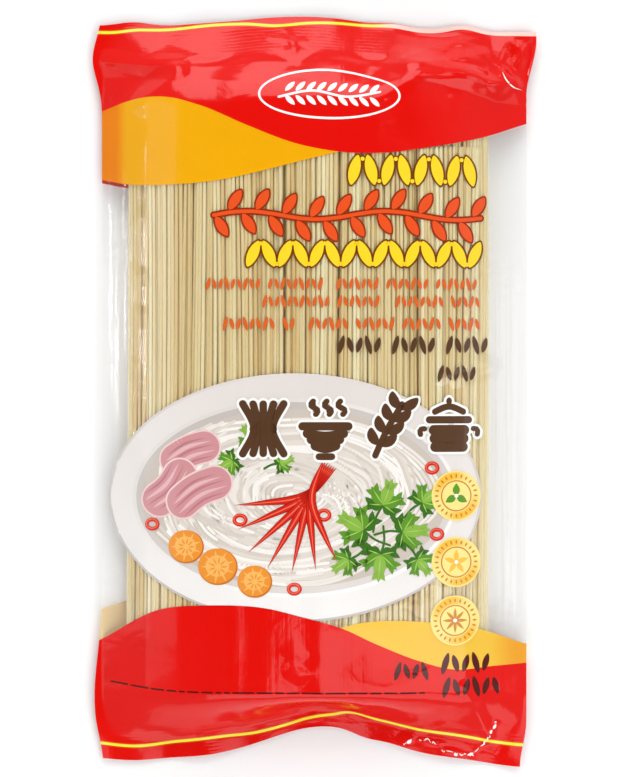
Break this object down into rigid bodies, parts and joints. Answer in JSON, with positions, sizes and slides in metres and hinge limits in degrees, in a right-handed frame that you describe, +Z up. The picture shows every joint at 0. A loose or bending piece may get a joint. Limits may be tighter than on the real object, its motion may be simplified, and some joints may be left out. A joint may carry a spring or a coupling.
{
  "type": "sealed bag of dried straight rice vermicelli",
  "caption": "Clear pillow bag with printed ends, welded flat at head and foot round a long block of straight dried rice sticks, lying on its back.",
  "frame": {"origin": "on the table under the middle of the bag's box", "axes": "+X across the bag, +Y along it towards the head end, +Z up out of the printed front"},
  "size_m": [0.1834, 0.3102, 0.0277],
  "materials": {
    "rice_sticks": "dried rice sticks, slightly translucent ivory, smooth with a soft sheen",
    "bag_film": "thin glossy film, clear over the sticks and printed red and yellow at both ends"
  },
  "bodies": {
    "root": {"vermicelli_pack": "rice_sticks"}
  },
  "joints": []
}
